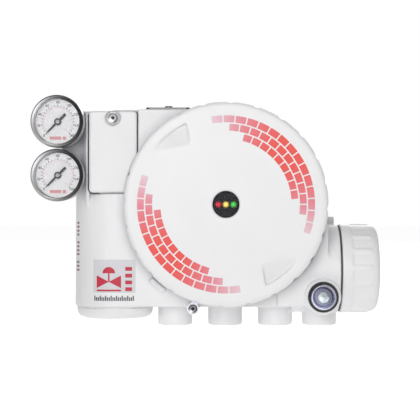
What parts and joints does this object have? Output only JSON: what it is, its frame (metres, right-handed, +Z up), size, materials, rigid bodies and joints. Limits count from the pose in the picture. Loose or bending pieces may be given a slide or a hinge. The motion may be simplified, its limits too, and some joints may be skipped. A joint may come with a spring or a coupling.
{
  "type": "valve positioner",
  "caption": "White die-cast valve positioner with a round screw-on cover, spool valve column, twin pressure gauges, ribbed wiring cap and rear feedback shaft.",
  "frame": {"origin": "on the axis of the main cover and the feedback shaft, at the rear mounting face", "axes": "+X to the right as seen from the front, +Y to the back, +Z up"},
  "size_m": [0.2685, 0.134, 0.1787],
  "materials": {
    "white_coat": "die-cast aluminium under a white satin powder coat",
    "stainless": "satin stainless steel",
    "plug_metal": "nickel-plated, polished",
    "black_rubber": "matte",
    "bare_aluminium": "machined",
    "bronze": "sintered, matte",
    "gauge_brass": "machined",
    "board_green": "solder mask, satin",
    "black_plastic": "moulded, satin",
    "terminal_green": "moulded, satin",
    "smoked_window": "smoked clear plastic, polished",
    "red_guide": "tinted clear plastic, gloss",
    "yellow_guide": "tinted clear plastic, gloss",
    "green_guide": "tinted clear plastic, gloss",
    "red_button": "moulded, satin",
    "pale_button": "moulded, satin",
    "selector_cream": "moulded, satin",
    "gauge_steel": "drawn steel, satin",
    "bezel_steel": "dark polished steel",
    "dial_white": "white enamel, matte",
    "gauge_glass": "clear, polished",
    "needle_black": "black enamel, matte"
  },
  "bodies": {
    "housing": {"housing": "white_coat", "cover_lock_clip": "stainless", "cover_lock_screw": "stainless", "spool_cover": "white_coat", "spool_cover_gasket": "black_rubber", "spool_cover_screw": "stainless", "spool_block": "bare_aluminium", "spool_block_seals": "black_rubber", "vent_plate": "stainless", "vent_gasket": "black_rubber", "vent_screw": "stainless", "driver_module": "bare_aluminium", "wiring_board": "board_green", "terminal_block": "terminal_green", "terminal_screws": "stainless", "conduit_plug": "plug_metal", "conduit_plug_seal": "black_rubber", "main_board": "board_green", "board_components": "black_plastic", "switch_bases": "black_plastic", "light_guide_holder": "black_plastic", "red_light_guide": "red_guide", "yellow_light_guide": "yellow_guide", "green_light_guide": "green_guide", "pressure_regulator": "bare_aluminium", "regulator_seals": "black_rubber", "position_sensor": "black_plastic", "shaft_bush": "bronze", "shaft_seal": "black_rubber", "return_spring": "stainless", "inner_screws": "stainless", "upper_gauge_case": "gauge_steel", "upper_gauge_bezel": "bezel_steel", "upper_gauge_dial": "dial_white", "upper_gauge_lens": "gauge_glass", "upper_gauge_stem": "gauge_brass", "lower_gauge_case": "gauge_steel", "lower_gauge_bezel": "bezel_steel", "lower_gauge_dial": "dial_white", "lower_gauge_lens": "gauge_glass", "lower_gauge_stem": "gauge_brass"},
    "main_cover_seal": {"main_cover_seal": "black_rubber"},
    "main_cover": {"main_cover": "white_coat", "status_window": "smoked_window"},
    "wiring_cap_seal": {"wiring_cap_seal": "black_rubber"},
    "wiring_cap": {"wiring_cap": "white_coat"},
    "driver_cover_seal": {"driver_cover_seal": "black_rubber"},
    "driver_cover": {"driver_cover": "white_coat"},
    "upper_needle": {"upper_gauge_needle": "needle_black"},
    "lower_needle": {"lower_gauge_needle": "needle_black"},
    "feedback_shaft": {"feedback_shaft": "stainless", "shaft_clip": "stainless"},
    "spool": {"spool": "stainless", "spool_stem": "bronze"},
    "calibrate_button": {"calibrate_button": "red_button"},
    "jog_open_button": {"jog_open_button": "pale_button"},
    "jog_close_button": {"jog_close_button": "pale_button"},
    "gain_selector": {"gain_selector": "selector_cream"}
  },
  "joints": [
    {"name": "main_cover_lift", "type": "slide", "parent": "housing", "child": "main_cover_seal", "axis": [0, -1, 0], "range_m": [0, 0.012]},
    {"name": "main_cover_turn", "type": "hinge", "parent": "main_cover_seal", "child": "main_cover", "pos_m": [0, -0.085, 0], "axis": [0, -1, 0], "range_deg": [0, 1440]},
    {"name": "wiring_cap_lift", "type": "slide", "parent": "housing", "child": "wiring_cap_seal", "axis": [1, 0, 0], "range_m": [0, 0.008]},
    {"name": "wiring_cap_turn", "type": "hinge", "parent": "wiring_cap_seal", "child": "wiring_cap", "pos_m": [0.1, -0.036, -0.0506], "axis": [1, 0, 0], "range_deg": [0, 1440]},
    {"name": "driver_cover_lift", "type": "slide", "parent": "housing", "child": "driver_cover_seal", "axis": [0, 0, -1], "range_m": [0, 0.008]},
    {"name": "driver_cover_turn", "type": "hinge", "parent": "driver_cover_seal", "child": "driver_cover", "pos_m": [-0.0877, -0.036, -0.085], "axis": [0, 0, -1], "range_deg": [0, 1440]},
    {"name": "upper_gauge_reading", "type": "hinge", "parent": "housing", "child": "upper_needle", "pos_m": [-0.1283, -0.08, 0.0632], "axis": [0, 1, 0], "range_deg": [0, 270]},
    {"name": "lower_gauge_reading", "type": "hinge", "parent": "housing", "child": "lower_needle", "pos_m": [-0.1283, -0.08, 0.0223], "axis": [0, 1, 0], "range_deg": [0, 270]},
    {"name": "feedback_shaft_turn", "type": "hinge", "parent": "housing", "child": "feedback_shaft", "pos_m": [0, 0, 0], "axis": [0, 1, 0], "range_deg": [-45, 45]},
    {"name": "spool_slide", "type": "slide", "parent": "housing", "child": "spool", "axis": [0, 0, 1], "range_m": [-0.001, 0.001], "stiffness_N_per_m": 2000},
    {"name": "calibrate_press", "type": "slide", "parent": "housing", "child": "calibrate_button", "axis": [0, 1, 0], "range_m": [0, 0.001], "stiffness_N_per_m": 1000},
    {"name": "jog_open_press", "type": "slide", "parent": "housing", "child": "jog_open_button", "axis": [0, 1, 0], "range_m": [0, 0.001], "stiffness_N_per_m": 1000},
    {"name": "jog_close_press", "type": "slide", "parent": "housing", "child": "jog_close_button", "axis": [0, 1, 0], "range_m": [0, 0.001], "stiffness_N_per_m": 1000},
    {"name": "gain_selector_turn", "type": "hinge", "parent": "housing", "child": "gain_selector", "pos_m": [0.02793, -0.068, -0.01995], "axis": [0, 1, 0], "range_deg": [0, 315]}
  ],
  "couplings": [
    {"joint": "main_cover_lift", "follows": "main_cover_turn", "m_per_rad": 0.0004774},
    {"joint": "wiring_cap_lift", "follows": "wiring_cap_turn", "m_per_rad": 0.0003183},
    {"joint": "driver_cover_lift", "follows": "driver_cover_turn", "m_per_rad": 0.0003183}
  ]
}
